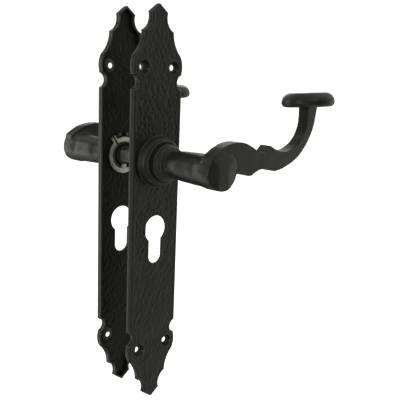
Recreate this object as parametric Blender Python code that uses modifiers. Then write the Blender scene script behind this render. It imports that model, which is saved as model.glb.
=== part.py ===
"""Door lever handle set: two long backplates and two mirrored levers on one square spindle.

Metres, +Z up. The origin is on the spindle's axis, midway between the plates. The levers
point along +X and the front of the door is on the -Y side. Each piece of the front half is
made lying on a bench: x along the lever, y up the door and z out from the door's mid-plane.
It is then stood up, and the rear half is its mirror image.
"""

import math

import bmesh
import bpy
from mathutils import Matrix, Vector

MM = 0.001

# Backplate: a tray of sheet steel, its rim on the door
RIM = 15.2 * MM
PLATE_DEPTH = 4.3 * MM
SHEET = 1.2 * MM
PLATE_TOP = 102.5 * MM
PLATE_BOTTOM = -174.7 * MM
PLATE_EDGE_ROUND = 0.9 * MM
FACE = RIM + PLATE_DEPTH
FLOOR = FACE - SHEET

# Screw holes, countersunk, the same distance from both tips
SCREW_X = 13.0 * MM
SCREW_FROM_TIP = 40.3 * MM
SCREW_R = 1.95 * MM
SCREW_HEAD_R = 4.3 * MM
BOSS_R = 5.2 * MM
BOSS_RISE = 2.0 * MM

# Cut-out for a profile cylinder
CYLINDER_DROP = 47.3 * MM
CYLINDER_R = 9.35 * MM
CYLINDER_SLOT = 11.3 * MM
CYLINDER_HEIGHT = 33.95 * MM

# Bearing of the lever's neck in the plate and the collar
GAP = 0.3 * MM
JOURNAL_R = 9.8 * MM
BUSH_IN_R = 9.87 * MM
BUSH_R = 11.4 * MM
BORE_R = 11.7 * MM
COLLAR_END = 27.8 * MM
WASHER_IN_R = 10.1 * MM
WASHER_R = 13.0 * MM
WASHER_THICK = 0.6 * MM
SHOULDER = COLLAR_END + WASHER_THICK + 2 * GAP
NECK_END = 15.6 * MM

# Spindle, its socket and the recess round it
SPINDLE_SIZE = 8.0 * MM
SPINDLE_LENGTH = 116.0 * MM
SOCKET_SIZE = 8.3 * MM
SOCKET_END = 60.0 * MM
HUB_R = 6.8 * MM
RECESS_R = 8.3 * MM
RECESS_DEPTH = 3.0 * MM

# Split stop ring in the neck's groove, its tab in the neck's slot
RING_LOW = 16.35 * MM
RING_THICK = 0.7 * MM
RING_IN_R = 9.4 * MM
RING_R = 13.0 * MM
GROOVE_R = 9.1 * MM
GROOVE_PLAY = 0.2 * MM
LUG_R = 16.6 * MM
LUG_ANGLE = 126.0
LUG_SLIT = 1.4 * MM
PRONG_WIDTH = 1.3 * MM
TAB_WIDTH = 4.4 * MM
TAB_R = 6.6 * MM
SLOT_WIDTH = 5.0 * MM
SLOT_R = 6.2 * MM

# Pegs riveted to the plate's inner side
PEG_AT_R = 15.0 * MM
PEG_R = 1.2 * MM
STOP_PEG_ANGLE = 80.0
STOP_PEG_LOW = 16.35 * MM
ANCHOR_PEG_ANGLE = 102.0
ANCHOR_PEG_LOW = 17.3 * MM

# Return spring, one coil of wire between the ring and the plate
WIRE_R = 0.35 * MM
SPRING_LEVEL = 17.7 * MM
SPRING_R = 12.1 * MM
SPRING_TIP_R = 14.6 * MM
SPRING_LEG_ANGLE = 108.6
SPRING_LEG_R = 15.6 * MM

# Grub screw in the underside of the neck
GRUB_AT = 45.0 * MM
GRUB_R = 2.45 * MM
GRUB_LENGTH = 5.0 * MM
GRUB_KEY_R = 1.4 * MM

# Boss and blade of the lever; the blade is a flat bar parallel to the door
BOSS_FRONT = 79.6 * MM
BLADE_BACK = 69.2 * MM
BLADE_FRONT = 78.0 * MM
BLADE_BEVEL = 0.6 * MM
PAD_CENTRE_X = 2.0 * MM
PAD_HALF_WIDTH = 13.0 * MM
PAD_HALF_HEIGHT = 11.6 * MM
PAD_BACK = 69.8 * MM

# Round button on the stem, seated with a slight lean; the seat is the middle of its underside
STEM_X = 93.7 * MM
SEAT = 39.2 * MM
SEAT_LEAN_UP = 1.8
SEAT_LEAN_OUT = 3.6
TENON_R = 2.5 * MM
TENON_LENGTH = 4.3 * MM
DISC_R = 18.8 * MM
DISC_THICK = 10.0 * MM
DISC_TOP_ROUND = 6.6 * MM
DISC_LOW_ROUND = 3.2 * MM
TENON_HOLE_R = 2.8 * MM

BLADE_MIDDLE = (BLADE_BACK + BLADE_FRONT) / 2
ROUND_STEPS = 32
SMALL_STEPS = 16
BEYOND = 1.0 * MM

# Lever blade, as (x, z, kind) in millimetres from the spindle's axis, clockwise from the boss.
# A smooth point rounds into its neighbours and a corner does not.
BLADE_POINTS = (
    (-9.0, 4.0, "corner"),
    (-8.6, 9.4, "smooth"),
    (-4.0, 12.8, "smooth"),
    (1.2, 15.5, "smooth"),
    (8.6, 17.5, "smooth"),
    (16.5, 18.1, "smooth"),
    (22.5, 17.4, "smooth"),
    (30.9, 14.0, "smooth"),
    (36.8, 11.0, "smooth"),
    (43.4, 10.3, "corner"),
    (48.1, 14.4, "corner"),
    (54.6, 11.3, "smooth"),
    (61.0, 9.8, "smooth"),
    (67.5, 9.6, "smooth"),
    (77.0, 12.6, "smooth"),
    (82.4, 16.3, "smooth"),
    (86.2, 20.8, "smooth"),
    (88.6, 26.4, "smooth"),
    (89.2, 32.0, "smooth"),
    (88.4, 42.0, "corner"),
    (99.8, 42.0, "corner"),
    (98.4, 34.5, "smooth"),
    (97.2, 28.5, "smooth"),
    (95.5, 23.1, "smooth"),
    (92.9, 18.5, "smooth"),
    (88.8, 12.9, "smooth"),
    (80.0, 4.8, "smooth"),
    (67.5, -0.8, "smooth"),
    (56.0, -3.3, "smooth"),
    (50.5, -2.7, "smooth"),
    (45.5, -1.3, "smooth"),
    (41.0, -0.8, "smooth"),
    (36.5, -1.5, "smooth"),
    (32.4, -3.0, "smooth"),
    (30.0, -4.3, "corner"),
    (26.6, -4.2, "smooth"),
    (22.5, -3.1, "smooth"),
    (17.5, -1.3, "smooth"),
    (14.6, -2.6, "corner"),
    (6.0, -6.0, "corner"),
    (-4.0, -5.0, "corner"),
)


def clear_scene():
    """Remove everything that a new file holds."""
    for item in list(bpy.data.objects):
        bpy.data.objects.remove(item, do_unlink=True)


def make_collection(name):
    """Add a collection to the scene."""
    collection = bpy.data.collections.new(name)
    bpy.context.scene.collection.children.link(collection)
    return collection


def make_material(name, colour, roughness, metallic):
    """A plain Principled material."""
    material = bpy.data.materials.new(name)
    material.use_nodes = True
    shader = material.node_tree.nodes["Principled BSDF"]
    shader.inputs["Base Color"].default_value = (*colour, 1.0)
    shader.inputs["Roughness"].default_value = roughness
    shader.inputs["Metallic"].default_value = metallic
    return material


def mesh_from(bm, name):
    """Turn a bmesh into a mesh whose faces point out."""
    bmesh.ops.recalc_face_normals(bm, faces=bm.faces)
    mesh = bpy.data.meshes.new(name)
    bm.to_mesh(mesh)
    bm.free()
    return mesh


def add_object(name, mesh, collection):
    """Put a mesh in the scene as a named object."""
    item = bpy.data.objects.new(name, mesh)
    collection.objects.link(item)
    return item


def evaluated_mesh(item):
    """The mesh that an object's modifiers or curve settings give."""
    graph = bpy.context.evaluated_depsgraph_get()
    return bpy.data.meshes.new_from_object(item.evaluated_get(graph), depsgraph=graph)


def apply_modifiers(item):
    """Replace an object's mesh by the one that its modifiers give."""
    mesh = evaluated_mesh(item)
    item.modifiers.clear()
    item.data = mesh


def combine(item, others, operation):
    """Cut other objects from this one, or join them to it, and remove them."""
    for other in others:
        other.hide_render = True
        other.display_type = "WIRE"
        boolean = item.modifiers.new(operation.title(), "BOOLEAN")
        boolean.object = other
        boolean.operation = operation
        boolean.solver = "EXACT"
    apply_modifiers(item)
    for other in others:
        bpy.data.objects.remove(other, do_unlink=True)


def finish(item, material):
    """Give a piece its material and smooth its round faces."""
    item.data.materials.clear()
    item.data.materials.append(material)
    item.data.shade_smooth()
    item.data.set_sharp_from_angle(angle=math.radians(30))
    return item


def arc(centre, radius, start, end, steps):
    """Points along a circular arc, angles in degrees."""
    points = []
    for step in range(steps + 1):
        angle = math.radians(start + (end - start) * step / steps)
        points.append((centre[0] + radius * math.cos(angle), centre[1] + radius * math.sin(angle)))
    return points


def polar(radius, degrees):
    """A point on the bench at a distance and an angle from the spindle's axis."""
    angle = math.radians(degrees)
    return (radius * math.cos(angle), radius * math.sin(angle))


def turned(name, profile, collection, steps=ROUND_STEPS):
    """Turn a profile of (radius, height) points about the bench's z with a Screw modifier.

    A profile that starts off the axis is closed into a ring.
    """
    bm = bmesh.new()
    vertices = [bm.verts.new((radius, 0.0, height)) for radius, height in profile]
    for first, second in zip(vertices, vertices[1:]):
        bm.edges.new((first, second))
    if profile[0][0] > 0:
        bm.edges.new((vertices[-1], vertices[0]))
    mesh = bpy.data.meshes.new(name)
    bm.to_mesh(mesh)
    bm.free()
    item = add_object(name, mesh, collection)
    screw = item.modifiers.new("Turn", "SCREW")
    screw.steps = steps
    screw.render_steps = steps
    screw.use_merge_vertices = True
    screw.merge_threshold = 0.00001
    apply_modifiers(item)
    bm = bmesh.new()
    bm.from_mesh(item.data)
    item.data = mesh_from(bm, name)
    return item


def cylinder(name, radius, start, end, collection, steps=ROUND_STEPS):
    """A plain cylinder between two points, used to cut or to join."""
    start = Vector(start)
    along = Vector(end) - start
    bm = bmesh.new()
    bmesh.ops.create_cone(
        bm, cap_ends=True, segments=steps, radius1=radius, radius2=radius, depth=along.length
    )
    item = add_object(name, mesh_from(bm, name), collection)
    item.rotation_euler = Vector((0, 0, 1)).rotation_difference(along).to_euler()
    item.location = start + along / 2
    return item


def block(name, low, high, collection):
    """A box between two corners."""
    low = Vector(low)
    high = Vector(high)
    bm = bmesh.new()
    bmesh.ops.create_cube(bm, size=1.0)
    bmesh.ops.scale(bm, vec=high - low, verts=bm.verts)
    bmesh.ops.translate(bm, vec=(low + high) / 2, verts=bm.verts)
    return add_object(name, mesh_from(bm, name), collection)


def outline_mesh(name, curve, low, high, collection):
    """Extrude a flat curve between two heights above the bench, as a closed mesh."""
    curve.dimensions = "2D"
    curve.fill_mode = "BOTH"
    curve.extrude = (high - low) / 2
    item = bpy.data.objects.new(name, curve)
    collection.objects.link(item)
    mesh = evaluated_mesh(item)
    bpy.data.objects.remove(item, do_unlink=True)
    bm = bmesh.new()
    bm.from_mesh(mesh)
    bmesh.ops.remove_doubles(bm, verts=bm.verts, dist=0.000001)
    bmesh.ops.translate(bm, vec=(0, 0, (low + high) / 2), verts=bm.verts)
    return add_object(name, mesh_from(bm, name), collection)


def flat_outline(name, points, low, high, collection):
    """Extrude a closed outline of (x, y) points."""
    curve = bpy.data.curves.new(name, "CURVE")
    spline = curve.splines.new("POLY")
    spline.points.add(len(points) - 1)
    for point, (x, y) in zip(spline.points, points):
        point.co = (x, y, 0.0, 1.0)
    spline.use_cyclic_u = True
    return outline_mesh(name, curve, low, high, collection)


def ornamental_end():
    """Half outline of a plate's end, as (half width, distance from the tip)."""
    shoulder = arc((15.8, 8.6), 9.1, 200.5, 109.0, 5)
    flare = arc((33.2, 17.3), 20.5, 180.0, 133.2, 3)
    lobe = arc((7.4, 39.8), 14.0, -32.0, 15.0, 4)
    notch = arc((21.9, 50.0), 4.9, 258.0, 100.6, 6)
    points = [(0.0, 0.0)] + shoulder + flare[1:] + lobe + notch
    return [(x * MM, down * MM) for x, down in points]


def plate_outline():
    """Closed outline of a backplate, from the top tip down the right side and up the left."""
    end = ornamental_end()
    top = [(x, PLATE_TOP - down) for x, down in end]
    bottom = [(x, PLATE_BOTTOM + down) for x, down in reversed(end)]
    right = top + bottom
    left = [(-x, y) for x, y in reversed(right) if x > 0]
    return right + left


def cylinder_outline():
    """Outline of the profile cylinder's cut-out: a circle with a round-ended slot below it."""
    half = CYLINDER_SLOT / 2
    side = math.degrees(math.acos(half / CYLINDER_R))
    slot_centre = (0, -CYLINDER_DROP + CYLINDER_R - CYLINDER_HEIGHT + half)
    circle = arc((0, -CYLINDER_DROP), CYLINDER_R, -side, 180 + side, 22)
    slot = arc(slot_centre, half, 180, 360, 10)
    return circle + slot


def backplate(collection, cutters):
    """Sheet-steel tray with ornamental ends: a flat face and its walls, given their thickness."""
    bm = bmesh.new()
    loop = [bm.verts.new((x, y, FACE)) for x, y in plate_outline()]
    face = bm.faces.new(loop)
    walls = bmesh.ops.extrude_edge_only(bm, edges=face.edges)
    rim = [part for part in walls["geom"] if isinstance(part, bmesh.types.BMVert)]
    bmesh.ops.translate(bm, vec=(0, 0, -PLATE_DEPTH), verts=rim)
    plate = add_object("front_backplate", mesh_from(bm, "front_backplate"), collection)
    shell = plate.modifiers.new("Sheet", "SOLIDIFY")
    shell.thickness = SHEET
    shell.offset = -1.0
    shell.use_even_offset = True
    apply_modifiers(plate)
    round_front_edge(plate)
    bosses = []
    holes = []
    low = FLOOR - BOSS_RISE
    for x in (-SCREW_X, SCREW_X):
        for y in (PLATE_TOP - SCREW_FROM_TIP, PLATE_BOTTOM + SCREW_FROM_TIP):
            boss = turned("boss", [(0, FACE - SHEET / 2), (BOSS_R, FACE - SHEET / 2),
                                   (BOSS_R, FLOOR - 0.1 * MM), (BOSS_R - BOSS_RISE, low),
                                   (0, low)], cutters, SMALL_STEPS)
            sink = FACE - (SCREW_HEAD_R - SCREW_R)
            hole = turned("hole", [(0, FACE + BEYOND), (SCREW_HEAD_R + BEYOND, FACE + BEYOND),
                                   (SCREW_R, sink), (SCREW_R, low - BEYOND),
                                   (0, low - BEYOND)], cutters, SMALL_STEPS)
            boss.location = (x, y, 0)
            hole.location = (x, y, 0)
            bosses.append(boss)
            holes.append(hole)
    combine(plate, bosses, "UNION")
    holes.append(cylinder("bore", BORE_R, (0, 0, RIM + BEYOND), (0, 0, FACE + BEYOND), cutters))
    holes.append(flat_outline("keyhole", cylinder_outline(), RIM + BEYOND, FACE + BEYOND, cutters))
    combine(plate, holes, "DIFFERENCE")
    return plate


def round_front_edge(plate):
    """Bevel the edge where a plate's face meets its walls."""
    bm = bmesh.new()
    bm.from_mesh(plate.data)
    near = 0.00001
    edges = []
    for edge in bm.edges:
        level = all(abs(vertex.co.z - FACE) < near for vertex in edge.verts)
        upright = any(abs(face.normal.z) < 0.5 for face in edge.link_faces)
        if level and upright:
            edges.append(edge)
    bmesh.ops.bevel(
        bm, geom=edges, offset=PLATE_EDGE_ROUND, segments=1, profile=0.5, affect="EDGES"
    )
    plate.data = mesh_from(bm, plate.name)


def collar(collection):
    """Stepped rose around the neck, on the plate's face."""
    base = FACE + GAP
    outside = [(17.7, 0.0), (17.7, 0.6), (17.2, 1.1), (16.3, 3.6), (15.6, 5.9), (15.2, 7.2)]
    profile = [(radius * MM, base + rise * MM) for radius, rise in outside]
    profile += [(14.7 * MM, COLLAR_END - 0.25 * MM), (14.1 * MM, COLLAR_END)]
    profile += [(BORE_R, COLLAR_END), (BORE_R, base)]
    return turned("front_collar", profile[::-1], collection)


def guide_bush(collection):
    """Bearing bush between the neck and the bore of the plate and collar."""
    low = FLOOR
    high = COLLAR_END - 0.2 * MM
    profile = [(BUSH_IN_R, low), (BUSH_IN_R, high), (BUSH_R, high), (BUSH_R, low)]
    return turned("front_guide_bush", profile, collection)


def thrust_washer(collection):
    """Washer between the collar's end and the neck's shoulder."""
    low = COLLAR_END + GAP
    high = low + WASHER_THICK
    profile = [(WASHER_IN_R, low), (WASHER_IN_R, high), (WASHER_R, high), (WASHER_R, low)]
    return turned("front_thrust_washer", profile, collection)


def neck_profile():
    """The lever's turned neck and boss, as (radius, height above the door's mid-plane)."""
    groove_low = RING_LOW - GROOVE_PLAY
    groove_high = RING_LOW + RING_THICK + GROOVE_PLAY
    profile = [(0, NECK_END), (JOURNAL_R - 0.2 * MM, NECK_END), (JOURNAL_R, NECK_END + 0.2 * MM)]
    profile += [(JOURNAL_R, groove_low), (GROOVE_R, groove_low), (GROOVE_R, groove_high)]
    profile += [(JOURNAL_R, groove_high), (JOURNAL_R, SHOULDER)]
    beads = [(12.2, 29.0), (12.4, 29.4), (12.4, 30.3), (11.7, 30.9), (11.6, 31.3), (11.9, 31.9),
             (11.8, 32.5), (11.1, 33.8), (10.8, 34.6), (10.4, 35.2), (9.5, 35.9), (9.1, 37.0)]
    swell = [(9.2, 38.5), (9.8, 45.0), (10.2, 55.0), (10.3, 63.4), (10.1, 64.2)]
    boss = [(10.7, 65.0), (11.0, 69.0), (11.2, 74.0), (11.2, 77.5), (10.7, 79.1), (9.8, 79.6)]
    profile += [(radius * MM, height * MM) for radius, height in beads + swell + boss]
    profile += [(0, BOSS_FRONT)]
    return profile


def blade(cutters):
    """The forged blade: hump, block and notch, and the stem that curls up to the button."""
    curve = bpy.data.curves.new("blade", "CURVE")
    curve.resolution_u = 3
    spline = curve.splines.new("BEZIER")
    spline.bezier_points.add(len(BLADE_POINTS) - 1)
    for point, (x, y, kind) in zip(spline.bezier_points, BLADE_POINTS):
        point.co = (x * MM, y * MM, 0.0)
        handle = "VECTOR" if kind == "corner" else "AUTO"
        point.handle_left_type = handle
        point.handle_right_type = handle
    spline.use_cyclic_u = True
    item = outline_mesh("blade", curve, BLADE_BACK, BLADE_FRONT, cutters)
    bevel = item.modifiers.new("Edges", "BEVEL")
    bevel.width = BLADE_BEVEL
    bevel.segments = 1
    bevel.limit_method = "ANGLE"
    bevel.angle_limit = math.radians(60)
    apply_modifiers(item)
    waste = block("waste", (-30 * MM, -GAP, -30 * MM), (30 * MM, 20 * MM, 30 * MM), cutters)
    waste.matrix_world = seat_place()
    combine(item, [waste], "DIFFERENCE")
    return item


def seat_place():
    """Placement of the button's seat: its y is the button's axis."""
    lean = Matrix.Rotation(math.radians(SEAT_LEAN_UP), 4, "Z")
    lean = lean @ Matrix.Rotation(math.radians(-SEAT_LEAN_OUT), 4, "X")
    return Matrix.Translation((STEM_X, SEAT, BLADE_MIDDLE)) @ lean


def pad(cutters):
    """Oval front of the boss, wider towards the blade than the neck is."""
    points = [(PAD_CENTRE_X + x * PAD_HALF_WIDTH, y * PAD_HALF_HEIGHT)
              for x, y in arc((0, 0), 1.0, 0, 360, ROUND_STEPS)[:-1]]
    return flat_outline("pad", points, PAD_BACK, BOSS_FRONT, cutters)


def boss_facet(edge, heading, tilt, length, half_width, cutters):
    """A tilted block that planes the boss's front, from an edge outwards along a heading."""
    item = block("facet", (0, -half_width, 0), (length, half_width, 10 * MM), cutters)
    turn = Matrix.Rotation(math.radians(heading), 4, "Z")
    lean = Matrix.Rotation(math.radians(tilt), 4, "Y")
    item.matrix_world = Matrix.Translation((*edge, BOSS_FRONT)) @ turn @ lean
    return item


def lever(collection, cutters):
    """Neck, boss and blade in one casting, with the spindle's socket and the ring's slot."""
    item = turned("front_lever", neck_profile(), collection)
    seat = seat_place()
    tenon = cylinder("tenon", TENON_R, seat @ Vector((0, -2 * MM, 0)),
                     seat @ Vector((0, TENON_LENGTH, 0)), cutters, SMALL_STEPS)
    combine(item, [blade(cutters), pad(cutters), tenon], "UNION")
    recess = turned("recess", [(HUB_R, 0), (HUB_R, NECK_END + RECESS_DEPTH),
                               (RECESS_R, NECK_END + RECESS_DEPTH), (RECESS_R, 0)], cutters)
    half = SOCKET_SIZE / 2
    socket = block("socket", (-half, -half, 0), (half, half, SOCKET_END), cutters)
    slot_end = RING_LOW + RING_THICK + GROOVE_PLAY
    slot = block("slot", (-SLOT_WIDTH / 2, -JOURNAL_R - BEYOND, 0),
                 (SLOT_WIDTH / 2, -SLOT_R, slot_end), cutters)
    thread = cylinder("thread", GRUB_R + 0.25 * MM, (0, 0, GRUB_AT),
                      (0, -20 * MM, GRUB_AT), cutters, SMALL_STEPS)
    facets = [boss_facet((-3.0 * MM, -2.5 * MM), 180, 13, 9.5 * MM, 10.5 * MM, cutters),
              boss_facet((6.0 * MM, 0), 0, 10, 9.0 * MM, 14 * MM, cutters),
              boss_facet((2.0 * MM, 3.5 * MM), 90, 11, 8.2 * MM, 13 * MM, cutters)]
    combine(item, [recess, socket, slot, thread] + facets, "DIFFERENCE")
    return item


def end_disc(collection, cutters):
    """Crowned round button with a blind hole for the stem's tenon, turned about its own axis."""
    top_centre = (DISC_R - DISC_TOP_ROUND, DISC_THICK - DISC_TOP_ROUND)
    low_centre = (DISC_R - DISC_LOW_ROUND, DISC_LOW_ROUND)
    profile = [(0, DISC_THICK), (7.0 * MM, DISC_THICK - 0.05 * MM)]
    profile += arc(top_centre, DISC_TOP_ROUND, 86, 0, 6)
    profile += arc(low_centre, DISC_LOW_ROUND, -8, -90, 4)
    profile += [(0, 0)]
    item = turned("front_end_disc", profile, collection)
    hole = cylinder("tenon_hole", TENON_HOLE_R, (0, 0, -BEYOND),
                    (0, 0, TENON_LENGTH + GAP), cutters, SMALL_STEPS)
    combine(item, [hole], "DIFFERENCE")
    item.matrix_world = seat_place() @ Matrix.Rotation(math.radians(-90), 4, "X")
    bake_placement(item)
    return item


def ring_outline():
    """Outline of the split ring: the lug's two prongs outwards, the tab inwards."""
    half_slit = LUG_SLIT / 2
    half_lug = half_slit + PRONG_WIDTH
    half_tab = TAB_WIDTH / 2
    slit = math.degrees(math.asin(half_slit / RING_IN_R))
    lug = math.degrees(math.asin(half_lug / RING_R))
    tab = math.degrees(math.asin(half_tab / RING_IN_R))
    turn = Matrix.Rotation(math.radians(LUG_ANGLE), 2)
    lug_end = math.sqrt(LUG_R**2 - half_lug**2)
    first = [turn @ Vector((lug_end, half_lug)), turn @ Vector((lug_end, half_slit))]
    last = [turn @ Vector((lug_end, -half_slit)), turn @ Vector((lug_end, -half_lug))]
    tab_foot = -90.0
    outside = arc((0, 0), RING_R, LUG_ANGLE + lug, LUG_ANGLE + 360 - lug, 34)
    inside = arc((0, 0), RING_IN_R, LUG_ANGLE - slit, tab_foot + tab, 20)
    inside += [(half_tab, -TAB_R), (-half_tab, -TAB_R)]
    inside += arc((0, 0), RING_IN_R, tab_foot - tab, LUG_ANGLE + slit - 360, 13)
    return outside + last[::-1] + inside + first[::-1]


def stop_ring(collection):
    """Split ring in the neck's groove, cut from sheet."""
    return flat_outline("front_stop_ring", ring_outline(), RING_LOW, RING_LOW + RING_THICK,
                        collection)


def peg(name, degrees, low, collection):
    """Small riveted peg on the plate's inner side."""
    high = FLOOR - GAP
    profile = [(0, high), (PEG_R, high), (PEG_R, low + 0.3 * MM), (PEG_R - 0.3 * MM, low),
               (0, low)]
    item = turned(name, profile, collection, SMALL_STEPS)
    item.location = (*polar(PEG_AT_R, degrees), 0)
    bake_placement(item)
    return item


def return_spring(collection):
    """One coil of wire: its tip stands in the lug's slit, its leg rests on the anchor peg."""
    points = [(*polar(SPRING_TIP_R, LUG_ANGLE), RING_LOW + 0.2 * MM)]
    points += [(*polar(SPRING_TIP_R, LUG_ANGLE), SPRING_LEVEL - 0.4 * MM)]
    points += [(*polar(SPRING_TIP_R - 0.4 * MM, LUG_ANGLE), SPRING_LEVEL)]
    points += [(*polar(SPRING_R + 0.6 * MM, LUG_ANGLE), SPRING_LEVEL)]
    coil = arc((0, 0), SPRING_R, LUG_ANGLE + 3, 360 + SPRING_LEG_ANGLE - 3, 30)
    points += [(x, y, SPRING_LEVEL) for x, y in coil]
    points += [(*polar(SPRING_R + 0.6 * MM, SPRING_LEG_ANGLE), SPRING_LEVEL)]
    points += [(*polar(SPRING_LEG_R, SPRING_LEG_ANGLE), SPRING_LEVEL)]
    curve = bpy.data.curves.new("front_return_spring", "CURVE")
    curve.dimensions = "3D"
    curve.bevel_depth = WIRE_R
    curve.bevel_resolution = 1
    curve.use_fill_caps = True
    spline = curve.splines.new("POLY")
    spline.points.add(len(points) - 1)
    for point, place in zip(spline.points, points):
        point.co = (*place, 1.0)
    item = bpy.data.objects.new("front_return_spring", curve)
    collection.objects.link(item)
    mesh = evaluated_mesh(item)
    bpy.data.objects.remove(item, do_unlink=True)
    bm = bmesh.new()
    bm.from_mesh(mesh)
    bmesh.ops.remove_doubles(bm, verts=bm.verts, dist=0.000001)
    return add_object("front_return_spring", mesh_from(bm, "front_return_spring"), collection)


def grub_screw(collection, cutters):
    """Set screw with a hexagon socket, tight on the spindle."""
    top = -SPINDLE_SIZE / 2 - GAP
    bottom = top - GRUB_LENGTH
    profile = [(0, top), (GRUB_R - 0.6 * MM, top), (GRUB_R, top - 0.6 * MM),
               (GRUB_R, bottom + 0.3 * MM), (GRUB_R - 0.3 * MM, bottom), (0, bottom)]
    item = turned("front_grub_screw", profile, collection, SMALL_STEPS)
    hexagon = cylinder("hexagon", GRUB_KEY_R, (0, 0, bottom - BEYOND),
                       (0, 0, bottom + 2 * MM), cutters, 6)
    combine(item, [hexagon], "DIFFERENCE")
    return item


def bake_placement(item):
    """Move an object's placement into its mesh, so that its origin is on the lever's axis."""
    bpy.context.view_layer.update()
    item.data.transform(item.matrix_world)
    item.matrix_world = Matrix.Identity(4)


def spindle(collection):
    """Square bar that carries both levers."""
    half = SPINDLE_SIZE / 2
    item = block("spindle", (-half, -half, -SPINDLE_LENGTH / 2),
                 (half, half, SPINDLE_LENGTH / 2), collection)
    bevel = item.modifiers.new("Edges", "BEVEL")
    bevel.width = 0.5 * MM
    bevel.segments = 1
    apply_modifiers(item)
    return item


def rear_copy(item, collection):
    """The rear copy of a front piece, mirrored in the door's mid-plane."""
    mesh = item.data.copy()
    mesh.transform(Matrix.Diagonal((1.0, 1.0, -1.0, 1.0)))
    mesh.flip_normals()
    name = item.name.replace("front_", "rear_")
    mesh.name = name
    return add_object(name, mesh, collection)


def build():
    """Make every piece of the set, and hang the turning ones on the lever's axis."""
    clear_scene()
    collection = make_collection("door_lever_handle")
    cutters = make_collection("cutters")
    blacks = {
        "backplate": ((0.030, 0.030, 0.027), 0.42),
        "collar": ((0.026, 0.026, 0.024), 0.38),
        "lever": ((0.028, 0.028, 0.026), 0.40),
        "end_disc": ((0.027, 0.027, 0.025), 0.40),
    }
    metals = {
        "stop_ring": ((0.56, 0.56, 0.53), 0.34),
        "return_spring": ((0.48, 0.48, 0.46), 0.30),
        "stop_peg": ((0.50, 0.50, 0.48), 0.35),
        "anchor_peg": ((0.50, 0.50, 0.48), 0.36),
        "guide_bush": ((0.45, 0.33, 0.18), 0.45),
        "grub_screw": ((0.20, 0.20, 0.20), 0.40),
        "spindle": ((0.40, 0.40, 0.38), 0.42),
    }
    disc = end_disc(collection, cutters)
    screw = grub_screw(collection, cutters)
    screw.location = (0, 0, GRUB_AT)
    screw.rotation_euler = (math.radians(-90), 0, 0)
    bake_placement(screw)
    fixed = [
        backplate(collection, cutters),
        collar(collection),
        guide_bush(collection),
        thrust_washer(collection),
        peg("front_stop_peg", STOP_PEG_ANGLE, STOP_PEG_LOW, collection),
        peg("front_anchor_peg", ANCHOR_PEG_ANGLE, ANCHOR_PEG_LOW, collection),
        return_spring(collection),
    ]
    turning = [lever(collection, cutters), disc, stop_ring(collection), screw]
    fixed += [rear_copy(item, collection) for item in fixed]
    turning += [rear_copy(item, collection) for item in turning]
    turning.append(spindle(collection))
    axis = bpy.data.objects.new("lever_axis", None)
    plates = bpy.data.objects.new("door_sides", None)
    collection.objects.link(axis)
    collection.objects.link(plates)
    for pivot, items in ((axis, turning), (plates, fixed)):
        pivot.rotation_euler = (math.radians(90), 0, 0)
        for item in items:
            item.parent = pivot
    shared = {}
    for item in fixed + turning:
        kind = item.name.replace("front_", "").replace("rear_", "")
        if kind not in shared:
            if kind in blacks:
                shared[kind] = make_material(kind, *blacks[kind], 0.0)
            elif kind in metals:
                shared[kind] = make_material(kind, *metals[kind], 1.0)
            else:
                shared[kind] = make_material(kind, (0.035, 0.035, 0.033), 0.5, 0.0)
        finish(item, shared[kind])


build()
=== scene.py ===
"""Looks of the door lever handle set: hammered black plates, forged levers and zinc stop rings.

Metres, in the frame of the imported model: the spindle lies along Y, the levers point along +X and
the front of the door is on the -Y side. Each piece of the front half is made lying on a bench,
x along the lever, y up the door and z out from the door's mid-plane. It is then stood up, and the
rear half is its mirror image.
"""

import math
import random
import bmesh
import bpy
import numpy as np
from mathutils import Matrix, Vector, geometry, kdtree, noise


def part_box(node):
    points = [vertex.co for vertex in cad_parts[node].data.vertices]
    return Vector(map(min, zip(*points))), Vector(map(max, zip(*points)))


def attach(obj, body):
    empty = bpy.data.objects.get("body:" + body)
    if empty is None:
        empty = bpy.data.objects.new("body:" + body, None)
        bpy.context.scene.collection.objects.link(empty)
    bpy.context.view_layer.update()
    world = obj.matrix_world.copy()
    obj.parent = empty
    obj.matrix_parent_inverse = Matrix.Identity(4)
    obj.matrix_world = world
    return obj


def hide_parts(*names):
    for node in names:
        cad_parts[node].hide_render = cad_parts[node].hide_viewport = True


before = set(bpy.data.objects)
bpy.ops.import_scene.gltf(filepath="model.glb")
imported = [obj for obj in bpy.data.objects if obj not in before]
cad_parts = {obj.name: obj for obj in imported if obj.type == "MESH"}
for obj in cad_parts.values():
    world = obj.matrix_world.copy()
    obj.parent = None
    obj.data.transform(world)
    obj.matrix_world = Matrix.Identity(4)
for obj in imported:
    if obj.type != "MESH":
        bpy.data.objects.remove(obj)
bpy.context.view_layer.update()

MM = 0.001

# Driving dimensions from the frame, as distances from the door's mid-plane
FACE = -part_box("front_backplate")[0].y
RIM = -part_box("front_backplate")[1].y
PLATE_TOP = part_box("front_backplate")[1].z
PLATE_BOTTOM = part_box("front_backplate")[0].z
NECK_END = -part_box("front_lever")[1].y
BOSS_FRONT = -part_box("front_lever")[0].y
RING_LOW = -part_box("front_stop_ring")[1].y
RING_HIGH = -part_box("front_stop_ring")[0].y
PLATE_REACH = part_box("front_backplate")[1].x
DISC_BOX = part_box("front_end_disc")
SPINDLE_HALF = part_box("spindle")[1].x
SPINDLE_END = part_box("spindle")[1].y

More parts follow.
